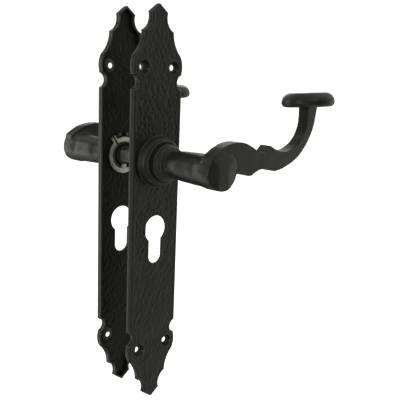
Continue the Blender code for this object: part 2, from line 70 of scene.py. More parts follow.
# Plate
SHEET = 1.2 * MM
FLOOR = FACE - SHEET
EDGE_ROUND = 1.4 * MM
HOLE_ROUND = 0.3 * MM
SCREW_X = 13.0 * MM
SCREW_FROM_TIP = 40.3 * MM
SCREW_R = 1.95 * MM
SCREW_HEAD_R = 4.3 * MM
BOSS_R = 5.2 * MM
BOSS_RISE = 2.0 * MM
CYLINDER_DROP = 47.3 * MM
CYLINDER_R = 9.35 * MM
CYLINDER_SLOT = 11.3 * MM
CYLINDER_HEIGHT = 33.95 * MM
BORE_R = 11.7 * MM

# Inner end of the lever's neck, with the stop ring's groove
ROOT_R = 9.8 * MM
ROOT_CHAMFER = 0.2 * MM
GROOVE_R = 9.1 * MM
GROOVE_PLAY = 0.2 * MM

# Lever
BLADE_BACK = 69.2 * MM
BLADE_FRONT = 78.0 * MM
PAD_CENTRE_X = 2.0 * MM
PAD_HALF_WIDTH = 13.0 * MM
PAD_HALF_HEIGHT = 11.6 * MM
PAD_BACK = 69.0 * MM
SOCKET_SIZE = 8.3 * MM
HUB_R = 6.8 * MM
RECESS_R = 8.3 * MM
RECESS_DEPTH = 3.0 * MM
SLOT_WIDTH = 5.0 * MM
SLOT_R = 6.2 * MM
GRUB_AT = 45.0 * MM
GRUB_HOLE_R = 2.7 * MM

# Round button, seated with a slight lean on the stem
DISC_R = 18.8 * MM
DISC_THICK = 10.0 * MM
DISC_TOP_ROUND = 6.6 * MM
DISC_LOW_ROUND = 3.2 * MM
SEAT_LEAN_UP = 1.8
SEAT_LEAN_OUT = 3.6
STEM_X = (DISC_BOX[0].x + DISC_BOX[1].x) / 2
STEM_X += DISC_LOW_ROUND * math.sin(math.radians(SEAT_LEAN_UP))
BLADE_MIDDLE = (BLADE_BACK + BLADE_FRONT) / 2
SEAT_LEAN = math.radians(math.hypot(SEAT_LEAN_UP, SEAT_LEAN_OUT))
SEAT = (DISC_BOX[0].z + (DISC_R - DISC_LOW_ROUND) * math.sin(SEAT_LEAN)
        + DISC_LOW_ROUND * (1 - math.cos(SEAT_LEAN)))

# Stop ring and its lug
RING_IN_R = 9.4 * MM
RING_R = 13.0 * MM
LUG_R = 16.6 * MM
LUG_ANGLE = 126.0
LUG_SLIT = 1.4 * MM
PRONG_WIDTH = 1.3 * MM
TAB_WIDTH = 4.4 * MM
TAB_R = 6.6 * MM

# Dents of the hammered face, on a loose grid. Length is a multiple of the width.
DENT_PITCH_X = 3.3 * MM
DENT_PITCH_Y = 3.6 * MM
DENT_FIELD_WIDTH = 46 * MM
DENT_SHIFT_X = 1.2 * MM
DENT_SHIFT_Y = 1.3 * MM
DENT_REACH = 6.0 * MM
DENT_WIDTH = (1.5, 2.3)
DENT_LENGTH = (0.9, 1.4)
DENT_DEPTH = (0.06, 0.36)
DENT_SLANT = 15
DEEPEST_AT = 25 * MM
LONG_DENTS_BELOW = -65 * MM
LONG_DENT_LENGTH = (1.4, 2.6)
LONG_DENT_SLANT = 34

# Slow swell of the plate's face and unevenness of its floor
SWELL_SIZE = 11 * MM
SWELL_HEIGHT = 0.12 * MM
SWELL_SINK = 0.05 * MM
PLAIN_BORDER = 1.6 * MM
PLAIN_FADE = 1.4 * MM
FLOOR_LUMP_SIZE = 2.0 * MM
FLOOR_LUMP_HEIGHT = 0.21 * MM
FLOOR_BORDER = 2.2 * MM
FLOOR_FADE = 2.0 * MM

# Fineness of the meshes. Rows of points follow each outline at these offsets in millimetres.
EDGE_ROWS = (0.1, 0.28, 0.5, 0.8, 1.15)
HOLE_ROWS = (0.08, 0.25)
OUTER_HOLE_ROWS = (0.6, 1.0)
FACE_PITCH = 0.45 * MM
FACE_MARGIN = 1.45 * MM
FLOOR_PITCH = 0.6 * MM
FLOOR_MARGIN = 0.4 * MM
LEVER_VOXEL = 0.30 * MM

# Parts of the lever that are smoothed, as limits about the spindle's axis
JOINT_REACH = 3.6 * MM
JOINT_LOW = 3 * MM
JOINT_RIGHT = 15 * MM
JOINT_R = 17 * MM
FRONT_HEIGHT = 74 * MM
FRONT_RIGHT = 12 * MM
FRONT_R = 15 * MM
BLADE_FOOT = 68.3 * MM
BLADE_INNER_R = 11.6 * MM
BLADE_EDGE = 76 * MM
JOINT_ROUNDS = 90
FRONT_ROUNDS = 20
FACET_ROUNDS = 120
BLADE_ROUNDS = 4

# Unevenness of the forging: broad and fine lumps, faint on the neck inside the collar
BROAD_LUMP_SIZE = 9 * MM
BROAD_LUMP_HEIGHT = 0.10 * MM
FINE_LUMP_SIZE = 3.2 * MM
FINE_LUMP_HEIGHT = 0.035 * MM
FORGED_FROM = 36 * MM
FORGED_FADE = 6 * MM

# Facets planed on the boss's front: middle of the facet's edge, heading and tilt in degrees,
# length and half width, in millimetres
FACETS = (
    ((-3.0, -2.5), 180, 13, 9.5, 10.5),
    ((6.0, 0.0), 0, 10, 9.0, 14.0),
    ((2.0, 3.5), 90, 11, 8.2, 13.0),
)

# Lever blade, as (x, y, kind) in millimetres from the spindle's axis, clockwise from the boss.
# A smooth point rounds into its neighbours and a corner does not.
BLADE_POINTS = (
    (-9.0, 4.0, "corner"),
    (-8.6, 9.4, "smooth"),
    (-4.0, 12.8, "smooth"),
    (1.2, 15.5, "smooth"),
    (8.6, 17.5, "smooth"),
    (15.5, 18.2, "smooth"),
    (22.0, 17.4, "smooth"),
    (28.0, 15.3, "smooth"),
    (33.5, 12.6, "smooth"),
    (38.0, 10.8, "smooth"),
    (43.4, 10.3, "corner"),
    (48.1, 14.4, "corner"),
    (54.6, 11.3, "smooth"),
    (61.0, 9.8, "smooth"),
    (67.5, 9.6, "smooth"),
    (77.0, 12.6, "smooth"),
    (82.4, 16.3, "smooth"),
    (86.2, 20.8, "smooth"),
    (88.6, 26.4, "smooth"),
    (89.2, 32.0, "smooth"),
    (88.4, 42.0, "corner"),
    (99.8, 42.0, "corner"),
    (98.4, 34.5, "smooth"),
    (97.2, 28.5, "smooth"),
    (95.5, 23.1, "smooth"),
    (92.9, 18.5, "smooth"),
    (88.8, 12.9, "smooth"),
    (80.0, 4.8, "smooth"),
    (67.5, -0.8, "smooth"),
    (56.0, -3.3, "smooth"),
    (50.5, -2.7, "smooth"),
    (45.5, -1.3, "smooth"),
    (41.0, -0.8, "smooth"),
    (36.5, -1.5, "smooth"),
    (32.4, -3.0, "smooth"),
    (30.0, -4.3, "corner"),
    (26.6, -4.2, "smooth"),
    (22.5, -3.1, "smooth"),
    (17.5, -1.3, "smooth"),
    (14.6, -2.6, "corner"),
    (6.0, -6.0, "corner"),
    (-4.0, -5.0, "corner"),
)

# Neck and boss of the lever, as (radius, height) in millimetres from the shoulder outwards
NECK_POINTS = (
    (11.7, 29.0, "corner"),
    (12.3, 29.1, "smooth"),
    (12.55, 29.6, "smooth"),
    (12.45, 30.2, "smooth"),
    (11.9, 30.7, "smooth"),
    (11.6, 31.0, "corner"),
    (11.75, 31.3, "smooth"),
    (12.05, 31.7, "smooth"),
    (12.05, 32.3, "smooth"),
    (11.7, 32.9, "smooth"),
    (11.0, 33.7, "smooth"),
    (10.5, 34.1, "corner"),
    (10.8, 34.4, "smooth"),
    (10.95, 34.8, "smooth"),
    (10.75, 35.3, "smooth"),
    (10.0, 35.6, "smooth"),
    (9.3, 35.9, "corner"),
    (9.05, 37.2, "smooth"),
    (9.3, 41.0, "smooth"),
    (9.85, 46.0, "smooth"),
    (10.15, 54.0, "smooth"),
    (10.35, 60.0, "smooth"),
    (10.38, 63.2, "smooth"),
    (10.55, 65.2, "smooth"),
    (10.85, 67.8, "smooth"),
    (11.2, 73.0, "smooth"),
    (11.25, 77.0, "smooth"),
    (11.0, 78.6, "smooth"),
    (10.2, 79.4, "smooth"),
    (9.0, 79.6, "corner"),
    (0.0, 79.6, "corner"),
)

# Collar, as (radius, height) in millimetres from its foot on the plate outwards
COLLAR_POINTS = (
    (17.5, 19.55, "corner"),
    (17.75, 19.8, "smooth"),
    (17.75, 20.3, "smooth"),
    (17.45, 20.75, "smooth"),
    (17.05, 20.85, "corner"),
    (16.85, 21.3, "smooth"),
    (16.45, 22.8, "smooth"),
    (15.9, 24.3, "smooth"),
    (15.15, 25.3, "corner"),
    (15.2, 25.7, "smooth"),
    (15.3, 26.2, "smooth"),
    (15.15, 26.9, "smooth"),
    (14.7, 27.5, "smooth"),
    (14.1, 27.78, "smooth"),
    (13.2, 27.75, "corner"),
    (13.0, 27.55, "corner"),
    (11.75, 27.5, "corner"),
)


# ---------------------------------------------------------------- shapes


def arc(centre, radius, start, end, steps):
    """Points along a circular arc, angles in degrees."""
    points = []
    for step in range(steps + 1):
        angle = math.radians(start + (end - start) * step / steps)
        points.append((centre[0] + radius * math.cos(angle), centre[1] + radius * math.sin(angle)))
    return points


def curved(points, closed, steps=8):
    """Sample a path through (u, v, kind) points in millimetres: round at smooth points."""
    count = len(points)
    places = [Vector(point[:2]) * MM for point in points]
    result = []
    spans = count if closed else count - 1
    for index in range(spans):
        start = places[index]
        end = places[(index + 1) % count]
        before = places[index - 1]
        after = places[(index + 2) % count]
        first = (end - before) / 2
        last = (after - start) / 2
        if points[index][2] == "corner" or (not closed and index == 0):
            first = end - start
        if points[(index + 1) % count][2] == "corner" or (not closed and index == spans - 1):
            last = end - start
        length = (end - start).length
        first = first.normalized() * length
        last = last.normalized() * length
        for step in range(steps):
            t = step / steps
            near = start * (2 * t**3 - 3 * t**2 + 1) + first * (t**3 - 2 * t**2 + t)
            far = end * (-2 * t**3 + 3 * t**2) + last * (t**3 - t**2)
            result.append(tuple(near + far))
    if not closed:
        result.append(tuple(places[-1]))
    return result


def mesh_from(bm, name):
    """Turn a bmesh into a mesh whose faces point out."""
    bmesh.ops.recalc_face_normals(bm, faces=bm.faces)
    mesh = bpy.data.meshes.new(name)
    bm.to_mesh(mesh)
    bm.free()
    return mesh


def add_object(name, mesh):
    """Put a mesh in the scene as a named object."""
    item = bpy.data.objects.new(name, mesh)
    bpy.context.scene.collection.objects.link(item)
    return item


def apply_modifiers(item):
    """Replace an object's mesh by the one that its modifiers give."""
    graph = bpy.context.evaluated_depsgraph_get()
    mesh = bpy.data.meshes.new_from_object(item.evaluated_get(graph), depsgraph=graph)
    item.modifiers.clear()
    item.data = mesh
    return item


def turned(name, profile, steps=128):
    """Turn a profile of (radius, height) points about the bench's z with a Screw modifier.

    A profile that starts off the axis is closed into a ring.
    """
    bm = bmesh.new()
    vertices = [bm.verts.new((radius, 0.0, height)) for radius, height in profile]
    for first, second in zip(vertices, vertices[1:]):
        bm.edges.new((first, second))
    if profile[0][0] > 0:
        bm.edges.new((vertices[-1], vertices[0]))
    mesh = bpy.data.meshes.new(name)
    bm.to_mesh(mesh)
    bm.free()
    item = add_object(name, mesh)
    screw = item.modifiers.new("Turn", "SCREW")
    screw.steps = steps
    screw.render_steps = steps
    screw.use_merge_vertices = True
    screw.merge_threshold = 0.000001
    apply_modifiers(item)
    bm = bmesh.new()
    bm.from_mesh(item.data)
    item.data = mesh_from(bm, name)
    return item


def prism(name, points, low, high):
    """A flat piece with a closed outline of (x, y) points, between two heights."""
    bm = bmesh.new()
    loop = [bm.verts.new((x, y, low)) for x, y in points]
    face = bm.faces.new(loop)
    raised = bmesh.ops.extrude_face_region(bm, geom=[face])
    top = [part for part in raised["geom"] if isinstance(part, bmesh.types.BMVert)]
    bmesh.ops.translate(bm, vec=(0, 0, high - low), verts=top)
    return add_object(name, mesh_from(bm, name))


def block(name, low, high):
    """A box between two corners."""
    low = Vector(low)
    high = Vector(high)
    bm = bmesh.new()
    bmesh.ops.create_cube(bm, size=1.0)
    bmesh.ops.scale(bm, vec=high - low, verts=bm.verts)
    bmesh.ops.translate(bm, vec=(low + high) / 2, verts=bm.verts)
    return add_object(name, mesh_from(bm, name))


def rod(name, radius, start, end, steps=48):
    """A cylinder between two points."""
    start = Vector(start)
    along = Vector(end) - start
    bm = bmesh.new()
    bmesh.ops.create_cone(
        bm, cap_ends=True, segments=steps, radius1=radius, radius2=radius, depth=along.length
    )
    turn = Vector((0, 0, 1)).rotation_difference(along).to_matrix().to_4x4()
    bmesh.ops.transform(bm, matrix=Matrix.Translation(start + along / 2) @ turn, verts=bm.verts)
    return add_object(name, mesh_from(bm, name))


def combine(item, others, operation):
    """Cut other objects from this one, or join them to it, and remove them."""
    for other in others:
        boolean = item.modifiers.new(operation.title(), "BOOLEAN")
        boolean.object = other
        boolean.operation = operation
        boolean.solver = "EXACT"
    apply_modifiers(item)
    for other in others:
        bpy.data.objects.remove(other, do_unlink=True)


def remesh(item, voxel, rounds):
    """Rebuild an object's surface from small even faces, and relax it."""
    grid = item.modifiers.new("Grid", "REMESH")
    grid.mode = "VOXEL"
    grid.voxel_size = voxel
    grid.adaptivity = 0.0
    relax = item.modifiers.new("Relax", "SMOOTH")
    relax.factor = 0.5
    relax.iterations = rounds
    return apply_modifiers(item)


def coordinates(mesh):
    """A mesh's vertices as an array."""
    points = np.zeros(len(mesh.vertices) * 3)
    mesh.vertices.foreach_get("co", points)
    return points.reshape(-1, 3)


def normals(mesh):
    """A mesh's vertex normals as an array."""
    values = np.zeros(len(mesh.vertices) * 3)
    mesh.vertex_normals.foreach_get("vector", values)
    return values.reshape(-1, 3)


def set_coordinates(mesh, points):
    """Give a mesh's vertices new places."""
    mesh.vertices.foreach_set("co", points.reshape(-1))
    mesh.update()


def noise_values(points, size, seed):
    """Smooth noise between about -1 and 1 at each point, its lumps of the given size."""
    shift = Vector((seed * 7.13, seed * 3.71, seed * 5.37))
    return np.array([noise.noise(Vector(point) / size + shift) for point in points])


def bell(distance, radius):
    """1 in the middle, falling smoothly to 0 at the radius."""
    share = np.clip(1 - (distance / radius) ** 2, 0, 1)
    return share**2


# ---------------------------------------------------------------- plates


def ornamental_end():
    """Half outline of a plate's end, as (half width, distance from the tip).

    Each arc is given in millimetres and degrees: centre, radius, start, end and steps.
    """
    tip = [(0.0, 0.0), (0.7, 0.45)]
    shoulder = arc((15.8, 8.6), 9.1, 200.5, 109.0, 20)
    flare = arc((33.2, 17.3), 20.5, 180.0, 133.2, 16)
    lobe = arc((7.4, 39.8), 14.0, -32.0, 15.0, 14)
    notch = arc((21.9, 50.0), 4.9, 258.0, 100.6, 20)
    points = tip + shoulder + flare[1:] + lobe + notch
    return [(min(x * MM, PLATE_REACH), down * MM) for x, down in points]


def plate_outline():
    """Closed outline of a backplate, from the top tip down the right side and up the left."""
    end = ornamental_end()
    top = [(x, PLATE_TOP - down) for x, down in end]
    bottom = [(x, PLATE_BOTTOM + down) for x, down in reversed(end)]
    right = top + bottom
    left = [(-x, y) for x, y in reversed(right) if x > 0]
    return right + left


def cylinder_outline():
    """Outline of the profile cylinder's cut-out: a circle with a round-ended slot below it."""
    half = CYLINDER_SLOT / 2
    side = math.degrees(math.acos(half / CYLINDER_R))
    slot_centre = (0, -CYLINDER_DROP + CYLINDER_R - CYLINDER_HEIGHT + half)
    circle = arc((0, -CYLINDER_DROP), CYLINDER_R, -side, 180 + side, 60)
    slot = arc(slot_centre, half, 180, 360, 30)
    return circle + slot


def screw_places():
    """The four screw holes of a plate."""
    heights = (PLATE_TOP - SCREW_FROM_TIP, PLATE_BOTTOM + SCREW_FROM_TIP)
    return [(side * SCREW_X, y) for side in (-1, 1) for y in heights]


def resampled(loop, spacing):
    """A closed outline with its corners kept and its points no further apart than the spacing."""
    result = []
    for (x0, y0), (x1, y1) in zip(loop, loop[1:] + loop[:1]):
        steps = max(1, math.ceil(math.hypot(x1 - x0, y1 - y0) / spacing))
        for step in range(steps):
            share = step / steps
            result.append((x0 + (x1 - x0) * share, y0 + (y1 - y0) * share))
    return result


def distance_tree(loops):
    """Search tree that gives the distance from closed outlines."""
    dense = [point for loop in loops for point in resampled(loop, 0.06 * MM)]
    tree = kdtree.KDTree(len(dense))
    for index, (x, y) in enumerate(dense):
        tree.insert((x, y, 0), index)
    tree.balance()
    return tree


def distances(tree, points):
    """Distance of each (x, y) point from a tree's outlines."""
    return np.array([tree.find((x, y, 0))[2] for x, y in points])


def inside(loop, points):
    """Which (x, y) points lie inside a closed outline."""
    odd = np.zeros(len(points), dtype=bool)
    x = points[:, 0]
    y = points[:, 1]
    for (x0, y0), (x1, y1) in zip(loop, loop[1:] + loop[:1]):
        if y0 == y1:
            continue
        crosses = (y0 > y) != (y1 > y)
        odd ^= crosses & (x < x0 + (y - y0) * (x1 - x0) / (y1 - y0))
    return odd


def beside(loop, offset, tree):
    """Points at an offset into the plate from a closed outline, where there is room for them."""
    result = []
    for index, (x, y) in enumerate(loop):
        x0, y0 = loop[index - 1]
        x1, y1 = loop[(index + 1) % len(loop)]
        length = math.hypot(x1 - x0, y1 - y0)
        point = (x + (y1 - y0) / length * offset, y - (x1 - x0) / length * offset)
        if tree.find((*point, 0))[2] > 0.97 * offset:
            result.append(point)
    return result


def within(loops, points):
    """Which points lie inside the first outline and outside the others."""
    result = inside(loops[0], points)
    for loop in loops[1:]:
        result &= ~inside(loop, points)
    return result


def loose_points(loops, tree, pitch, margin):
    """Staggered points, a little out of line, that fill a region up to a margin."""
    draw = random.Random(5)
    result = []
    outline = np.array(loops[0])
    low = outline.min(axis=0)
    high = outline.max(axis=0)
    rows = int((high[1] - low[1]) / pitch) + 1
    columns = int((high[0] - low[0]) / pitch) + 1
    for row in range(rows):
        for column in range(columns):
            x = low[0] + (column + 0.5 * (row % 2)) * pitch + draw.uniform(-0.15, 0.15) * pitch
            y = low[1] + row * pitch + draw.uniform(-0.15, 0.15) * pitch
            result.append((x, y))
    points = np.array(result)
    points = points[within(loops, points)]
    clear = distances(tree, points) > margin
    return [tuple(point) for point in points[clear]]


class Shell:
    """A closed surface built from flat sheets with holes and the walls between them."""

    def __init__(self):
        self.vertices = []
        self.faces = []

    def sheet(self, loops, loose, height):
        """Fill the region between outlines; height gives the level of an array of points."""
        coords = [Vector(point) for loop in loops for point in loop]
        coords += [Vector(point) for point in loose]
        edges = []
        start = 0
        for loop in loops:
            count = len(loop)
            edges += [(start + index, start + (index + 1) % count) for index in range(count)]
            start += count
        places, _, faces, *_ = geometry.delaunay_2d_cdt(coords, edges, [], 0, 0.0001 * MM)
        flat = np.array([tuple(place) for place in places])
        triangles = np.array(faces)
        kept = triangles[within(loops, flat[triangles].mean(axis=1))]
        first = len(self.vertices)
        levels = height(flat)
        self.vertices += [(x, y, z) for (x, y), z in zip(flat, levels)]
        self.faces += [tuple(first + int(corner) for corner in face) for face in kept]

    def wall(self, low, high):
        """Join two closed loops of (x, y, z) places with as many points."""
        first = len(self.vertices)
        count = len(low)
        self.vertices += list(low) + list(high)
        for index in range(count):
            after = (index + 1) % count
            self.faces.append((first + index, first + after, first + count + after,
                               first + count + index))

    def finished(self, name):
        """Weld the sheets and walls into one object."""
        mesh = bpy.data.meshes.new(name)
        mesh.from_pydata(self.vertices, [], self.faces)
        bm = bmesh.new()
        bm.from_mesh(mesh)
        bmesh.ops.remove_doubles(bm, verts=bm.verts, dist=0.002 * MM)
        loose = [vertex for vertex in bm.verts if not vertex.link_faces]
        bmesh.ops.delete(bm, geom=loose, context="VERTS")
        return add_object(name, mesh_from(bm, name))


def at_height(loop, level):
    """A flat outline as places at one level."""
    return [(x, y, level) for x, y in loop]


def ring_loop(centre, radius, steps=48):
    """Closed circle of points about a centre."""
    return arc(centre, radius, 0, 360, steps)[:-1]


def rounding(distance, radius):
    """How far an edge's rounding lies below the face, at a distance from the edge."""
    inner = np.clip(radius - distance, 0, radius)
    return radius - np.sqrt(radius**2 - inner**2)


def hammer_marks(points):
    """Depth of the hammered face at each point: small dents, longer and slanted further down."""
    draw = random.Random(11)
    depth = np.zeros(len(points))
    rows = int((PLATE_TOP - PLATE_BOTTOM) / DENT_PITCH_Y)
    columns = int(DENT_FIELD_WIDTH / DENT_PITCH_X)
    x = points[:, 0]
    y = points[:, 1]
    for row in range(rows):
        row_y = PLATE_BOTTOM + (row + 0.5) * DENT_PITCH_Y
        band = np.abs(y - row_y) < DENT_REACH
        band_x = x[band]
        band_y = y[band]
        band_depth = depth[band]
        for column in range(columns):
            column_x = -DENT_FIELD_WIDTH / 2 + (column + 0.5 * (row % 2)) * DENT_PITCH_X
            dent_x = column_x + draw.uniform(-1, 1) * DENT_SHIFT_X
            dent_y = row_y + draw.uniform(-1, 1) * DENT_SHIFT_Y
            width = draw.uniform(*DENT_WIDTH) * MM
            length = width * draw.uniform(*DENT_LENGTH)
            slant = math.radians(draw.uniform(-DENT_SLANT, DENT_SLANT))
            amount = draw.uniform(*DENT_DEPTH) * MM
            amount *= 1.0 - 0.35 * min(1, abs(dent_y - DEEPEST_AT) / (40 * MM))
            if dent_y < LONG_DENTS_BELOW:
                slant -= math.radians(LONG_DENT_SLANT)
                width *= 1.05
                length = width * draw.uniform(*LONG_DENT_LENGTH)
                amount *= 0.8
            right = band_x - dent_x
            above = band_y - dent_y
            across = right * math.cos(slant) + above * math.sin(slant)
            along = above * math.cos(slant) - right * math.sin(slant)
            reach = np.sqrt((across / width) ** 2 + (along / length) ** 2)
            band_depth = np.maximum(band_depth, amount * bell(reach, 1.0))
        depth[band] = band_depth
    return depth


def hammered_plate():
    """Backplate on the bench: a tray with a rounded, hammered face, holes and an uneven floor."""
    outline = resampled(plate_outline(), 0.4 * MM)
    bore = ring_loop((0, 0), BORE_R, 96)
    keyhole = resampled(cylinder_outline(), 0.5 * MM)
    sinks = [ring_loop(place, SCREW_HEAD_R) for place in screw_places()]
    boss_feet = [ring_loop(place, BOSS_R) for place in screw_places()]
    edge = distance_tree([outline])
    holes = distance_tree([bore, keyhole] + sinks)
    every = distance_tree([outline, bore, keyhole] + sinks)
    inner = beside(outline, SHEET, edge)

    def face_level(points):
        room = distances(edge, points)
        hole_room = distances(holes, points)
        marked = (np.minimum(room, hole_room + 1.0 * MM) - PLAIN_BORDER) / PLAIN_FADE
        solid = np.column_stack([points, np.zeros(len(points))])
        swell = noise_values(solid, SWELL_SIZE, 1) * SWELL_HEIGHT - SWELL_SINK
        level = FACE - rounding(room, EDGE_ROUND) - rounding(hole_room, HOLE_ROUND)
        return level + (swell - hammer_marks(points)) * np.clip(marked, 0, 1)

    def floor_level(points):
        room = distances(every, points)
        solid = np.column_stack([points, np.zeros(len(points))])
        uneven = noise_values(solid, FLOOR_LUMP_SIZE, 2) * FLOOR_LUMP_HEIGHT
        return FLOOR + uneven * np.clip((room - FLOOR_BORDER) / FLOOR_FADE, 0, 1)

    face_loops = [outline, bore, keyhole] + sinks
    loose = []
    for offset in EDGE_ROWS:
        loose += beside(outline, offset * MM, edge)
    for loop in face_loops[1:]:
        for offset in HOLE_ROWS:
            loose += beside(loop, offset * MM, every)
    loose += loose_points(face_loops, every, FACE_PITCH, FACE_MARGIN)
    for loop in face_loops[1:]:
        for offset in OUTER_HOLE_ROWS:
            loose += beside(loop, offset * MM, every)
    shell = Shell()
    shell.sheet(face_loops, loose, face_level)
    edge_level = FACE - EDGE_ROUND
    levels = [edge_level + (RIM - edge_level) * step / 3 for step in range(4)]
    for high, low in zip(levels, levels[1:]):
        shell.wall(at_height(outline, low), at_height(outline, high))
    shell.sheet([outline, inner], [], lambda points: np.full(len(points), RIM))
    shell.wall(at_height(inner, RIM), at_height(inner, FLOOR))
    floor_loops = [inner, bore, keyhole] + boss_feet
    floor_tree = distance_tree(floor_loops)
    floor_points = loose_points(floor_loops, floor_tree, FLOOR_PITCH, FLOOR_MARGIN)
    shell.sheet(floor_loops, floor_points, floor_level)
    for loop in (bore, keyhole):
        shell.wall(at_height(loop, FLOOR), at_height(loop, FACE - HOLE_ROUND))
    sink = FACE - (SCREW_HEAD_R - SCREW_R)
    low = FLOOR - BOSS_RISE
    steps = [(SCREW_HEAD_R, FACE - HOLE_ROUND), (SCREW_R, sink), (SCREW_R, low),
             (BOSS_R - BOSS_RISE, low), (BOSS_R, FLOOR - 0.1 * MM), (BOSS_R, FLOOR)]
    for place in screw_places():
        for (radius, level), (next_radius, next_level) in zip(steps, steps[1:]):
            shell.wall(at_height(ring_loop(place, next_radius), next_level),
                       at_height(ring_loop(place, radius), level))
    return shell.finished("plate")


# ---------------------------------------------------------------- turned and forged pieces


def collar():
    """Stepped rose round the neck, sitting on the plate's face."""
    outside = curved(COLLAR_POINTS, False, 6)
    profile = outside + [(BORE_R, FACE + 0.05 * MM)]
    item = turned("collar", profile[::-1], 160)
    mesh = item.data
    points = coordinates(mesh)
    points += normals(mesh) * (noise_values(points, 6 * MM, 3) * 0.05 * MM)[:, None]
    set_coordinates(mesh, points)
    return item


def lever():
    """Neck, boss and blade as one casting, relaxed where it was forged and dressed by hand."""
    groove_low = RING_LOW - GROOVE_PLAY
    groove_high = RING_HIGH + GROOVE_PLAY
    root = [(0, NECK_END), (ROOT_R - ROOT_CHAMFER, NECK_END), (ROOT_R, NECK_END + ROOT_CHAMFER),
            (ROOT_R, groove_low), (GROOVE_R, groove_low), (GROOVE_R, groove_high),
            (ROOT_R, groove_high), (ROOT_R, NECK_POINTS[0][1] * MM)]
    item = turned("lever", root + curved(NECK_POINTS, False, 6), 144)
    blade = prism("blade", curved(BLADE_POINTS, True, 8), BLADE_BACK, BLADE_FRONT)
    waste = block("waste", (-30 * MM, 0, -30 * MM), (30 * MM, 20 * MM, 30 * MM))
    waste.data.transform(seat_place())
    combine(blade, [waste], "DIFFERENCE")
    oval = [(PAD_CENTRE_X + x * PAD_HALF_WIDTH, y * PAD_HALF_HEIGHT)
            for x, y in ring_loop((0, 0), 1.0, 96)]
    combine(item, [blade, prism("pad", oval, PAD_BACK, BOSS_FRONT)], "UNION")
    facets = [boss_facet(*facet) for facet in FACETS]
    recess = turned("recess", [(HUB_R, 0), (HUB_R, NECK_END + RECESS_DEPTH),
                               (RECESS_R, NECK_END + RECESS_DEPTH), (RECESS_R, 0)])
    half = SOCKET_SIZE / 2
    socket = block("socket", (-half, -half, 0), (half, half, 60 * MM))
    slot = block("slot", (-SLOT_WIDTH / 2, -11 * MM, 0), (SLOT_WIDTH / 2, -SLOT_R, groove_high))
    thread = rod("thread", GRUB_HOLE_R, (0, 0, GRUB_AT), (0, -20 * MM, GRUB_AT))
    combine(item, [recess, socket, slot, thread] + facets, "DIFFERENCE")
    remesh(item, LEVER_VOXEL, 1)
    dress_forging(item)
    return item


def seat_place():
    """Placement of the button's seat on the bench: its y is the button's axis."""
    lean = Matrix.Rotation(math.radians(SEAT_LEAN_UP), 4, "Z")
    lean = lean @ Matrix.Rotation(math.radians(-SEAT_LEAN_OUT), 4, "X")
    return Matrix.Translation((STEM_X, SEAT, BLADE_MIDDLE)) @ lean


def boss_facet(edge, heading, tilt, length, half_width):
    """A tilted block that planes the boss's front, from an edge outwards along a heading."""
    item = block("facet", (0, -half_width * MM, 0), (length * MM, half_width * MM, 10 * MM))
    turn = Matrix.Rotation(math.radians(heading), 4, "Z")
    lean = Matrix.Rotation(math.radians(tilt), 4, "Y")
    place = Matrix.Translation((edge[0] * MM, edge[1] * MM, BOSS_FRONT))
    item.data.transform(place @ turn @ lean)
    return item


def smooth_part(item, name, chosen, rounds):
    """Add a Smooth modifier that moves the chosen vertices only."""
    group = item.vertex_groups.new(name=name)
    group.add([int(index) for index in np.nonzero(chosen)[0]], 1.0, "REPLACE")
    smooth = item.modifiers.new(name.title(), "SMOOTH")
    smooth.factor = 0.5
    smooth.iterations = rounds
    smooth.vertex_group = name


def dress_forging(item):
    """Run the neck into the blade, ease the facets, soften the edges, and make it all uneven."""
    points = coordinates(item.data)
    x = points[:, 0]
    y = points[:, 1]
    height = points[:, 2]
    radius = np.hypot(x, y)
    joint = (np.abs(height - BLADE_BACK) < JOINT_REACH) & (y > JOINT_LOW)
    joint &= (x < JOINT_RIGHT) & (radius < JOINT_R)
    front = (height > FRONT_HEIGHT) & (radius < FRONT_R) & (x < FRONT_RIGHT)
    from_pad_centre = np.hypot((x - PAD_CENTRE_X) / PAD_HALF_WIDTH, y / PAD_HALF_HEIGHT)
    blade = (height > BLADE_FOOT) & ((radius > BLADE_INNER_R) | (height > BLADE_EDGE))
    smooth_part(item, "joint", joint, JOINT_ROUNDS)
    smooth_part(item, "front", front, FRONT_ROUNDS)
    smooth_part(item, "facets", front & (from_pad_centre < 0.80), FACET_ROUNDS)
    smooth_part(item, "blade", blade, BLADE_ROUNDS)
    apply_modifiers(item)
    item.vertex_groups.clear()
    mesh = item.data
    points = coordinates(mesh)
    uneven = noise_values(points, BROAD_LUMP_SIZE, 4) * BROAD_LUMP_HEIGHT
    uneven += noise_values(points, FINE_LUMP_SIZE, 5) * FINE_LUMP_HEIGHT
    outer = np.clip((points[:, 2] - FORGED_FROM) / FORGED_FADE, 0.15, 1)
    points += normals(mesh) * (uneven * outer)[:, None]
    set_coordinates(mesh, points)


def end_disc():
    """Round button with a crowned top, on the stem."""
    top_centre = (DISC_R - DISC_TOP_ROUND, DISC_THICK - DISC_TOP_ROUND)
    low_centre = (DISC_R - DISC_LOW_ROUND, DISC_LOW_ROUND)
    profile = [(0, DISC_THICK), (4 * MM, DISC_THICK - 0.01 * MM), (8 * MM, DISC_THICK - 0.06 * MM)]
    profile += arc(top_centre, DISC_TOP_ROUND, 85, 0, 22)
    profile += arc(low_centre, DISC_LOW_ROUND, -6, -90, 14)
    profile += [(12 * MM, 0), (6 * MM, 0), (0, 0)]
    item = turned("end_disc", profile, 144)
    mesh = item.data
    points = coordinates(mesh)
    sink = 0.10 * MM - noise_values(points, 7 * MM, 6) * 0.09 * MM
    points -= normals(mesh) * sink[:, None]
    set_coordinates(mesh, points)
    item.data.transform(seat_place() @ Matrix.Rotation(math.radians(-90), 4, "X"))
    return item


